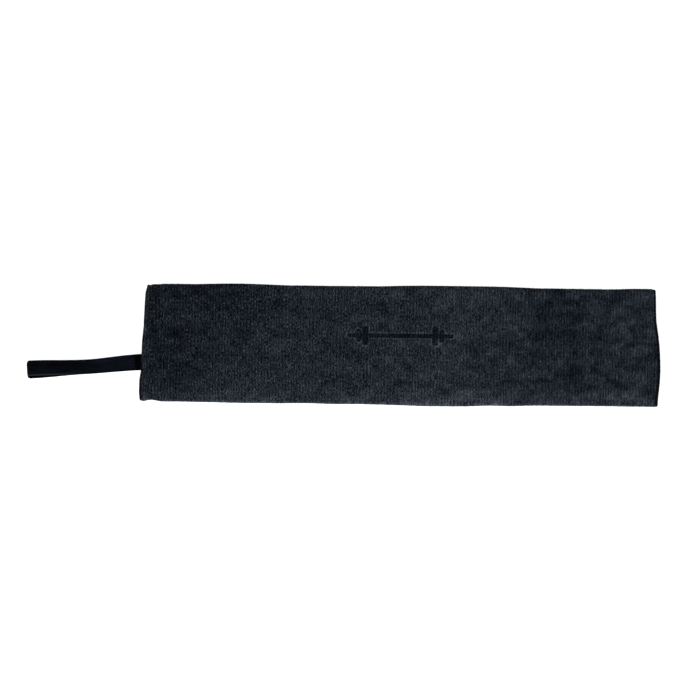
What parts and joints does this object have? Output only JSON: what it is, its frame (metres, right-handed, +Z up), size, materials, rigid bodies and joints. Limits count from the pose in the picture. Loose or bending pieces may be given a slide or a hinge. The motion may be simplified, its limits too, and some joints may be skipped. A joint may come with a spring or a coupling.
{
  "type": "folded sports towel",
  "caption": "Dark velour sports towel folded concertina-fashion into a long flat stack, with a flat black hanging loop sewn to one end.",
  "frame": {"origin": "centre of the folded towel's underside, which rests on a surface", "axes": "+X along the long side, away from the hanging loop; +Y across the folds, towards the free end of the top layer; +Z up, through the layers"},
  "size_m": [0.6176, 0.1152, 0.0165],
  "materials": {
    "velour": "matte",
    "hem_thread": "matte",
    "webbing": "matte",
    "tack_thread": "satin",
    "label_satin": "satin"
  },
  "bodies": {
    "panel_1": {"cloth_panel_1": "velour", "left_hem_1": "hem_thread", "right_hem_1": "hem_thread", "cloth_fold_1": "velour", "left_fold_hem_1": "hem_thread", "right_fold_hem_1": "hem_thread", "bottom_end_hem": "hem_thread", "loop_tab": "webbing", "loop_bar_tack": "tack_thread"},
    "panel_2": {"cloth_panel_2": "velour", "left_hem_2": "hem_thread", "right_hem_2": "hem_thread", "cloth_fold_2": "velour", "left_fold_hem_2": "hem_thread", "right_fold_hem_2": "hem_thread"},
    "panel_3": {"cloth_panel_3": "velour", "left_hem_3": "hem_thread", "right_hem_3": "hem_thread", "cloth_fold_3": "velour", "left_fold_hem_3": "hem_thread", "right_fold_hem_3": "hem_thread", "care_label": "label_satin"},
    "panel_4": {"cloth_panel_4": "velour", "left_hem_4": "hem_thread", "right_hem_4": "hem_thread", "cloth_fold_4": "velour", "left_fold_hem_4": "hem_thread", "right_fold_hem_4": "hem_thread"},
    "panel_5": {"cloth_panel_5": "velour", "left_hem_5": "hem_thread", "right_hem_5": "hem_thread", "cloth_fold_5": "velour", "left_fold_hem_5": "hem_thread", "right_fold_hem_5": "hem_thread"},
    "panel_6": {"cloth_panel_6": "velour", "left_hem_6": "hem_thread", "right_hem_6": "hem_thread", "cloth_fold_6": "velour", "left_fold_hem_6": "hem_thread", "right_fold_hem_6": "hem_thread"},
    "panel_7": {"cloth_panel_7": "velour", "left_hem_7": "hem_thread", "right_hem_7": "hem_thread", "cloth_fold_7": "velour", "left_fold_hem_7": "hem_thread", "right_fold_hem_7": "hem_thread"},
    "panel_8": {"cloth_panel_8": "velour", "left_hem_8": "hem_thread", "right_hem_8": "hem_thread", "top_end_hem": "hem_thread"},
    "loop": {"hanging_loop": "webbing"}
  },
  "joints": [
    {"name": "fold_1", "type": "hinge", "parent": "panel_1", "child": "panel_2", "pos_m": [0, -0.05563, 0.00195], "axis": [1, 0, 0], "range_deg": [0, 179.9], "deforming": ["cloth_fold_1", "left_fold_hem_1", "right_fold_hem_1"]},
    {"name": "fold_2", "type": "hinge", "parent": "panel_2", "child": "panel_3", "pos_m": [0, 0.05563, 0.00405], "axis": [-1, 0, 0], "range_deg": [0, 179.9], "deforming": ["cloth_fold_2", "left_fold_hem_2", "right_fold_hem_2"]},
    {"name": "fold_3", "type": "hinge", "parent": "panel_3", "child": "panel_4", "pos_m": [0, -0.05563, 0.00615], "axis": [1, 0, 0], "range_deg": [0, 179.9], "deforming": ["cloth_fold_3", "left_fold_hem_3", "right_fold_hem_3"]},
    {"name": "fold_4", "type": "hinge", "parent": "panel_4", "child": "panel_5", "pos_m": [0, 0.05563, 0.00825], "axis": [-1, 0, 0], "range_deg": [0, 179.9], "deforming": ["cloth_fold_4", "left_fold_hem_4", "right_fold_hem_4"]},
    {"name": "fold_5", "type": "hinge", "parent": "panel_5", "child": "panel_6", "pos_m": [0, -0.05563, 0.01035], "axis": [1, 0, 0], "range_deg": [0, 179.9], "deforming": ["cloth_fold_5", "left_fold_hem_5", "right_fold_hem_5"]},
    {"name": "fold_6", "type": "hinge", "parent": "panel_6", "child": "panel_7", "pos_m": [0, 0.05563, 0.01245], "axis": [-1, 0, 0], "range_deg": [0, 179.9], "deforming": ["cloth_fold_6", "left_fold_hem_6", "right_fold_hem_6"]},
    {"name": "fold_7", "type": "hinge", "parent": "panel_7", "child": "panel_8", "pos_m": [0, -0.05563, 0.01455], "axis": [1, 0, 0], "range_deg": [0, 179.9], "deforming": ["cloth_fold_7", "left_fold_hem_7", "right_fold_hem_7"]},
    {"name": "loop_swing", "type": "hinge", "parent": "panel_1", "child": "loop", "pos_m": [-0.256, -0.02, 0.0009], "axis": [-0.075, 0.9972, 0], "range_deg": [0, 90]}
  ],
  "couplings": [
    {"joint": "fold_2", "follows": "fold_1", "ratio": 1},
    {"joint": "fold_3", "follows": "fold_1", "ratio": 1},
    {"joint": "fold_4", "follows": "fold_1", "ratio": 1},
    {"joint": "fold_5", "follows": "fold_1", "ratio": 1},
    {"joint": "fold_6", "follows": "fold_1", "ratio": 1},
    {"joint": "fold_7", "follows": "fold_1", "ratio": 1}
  ]
}
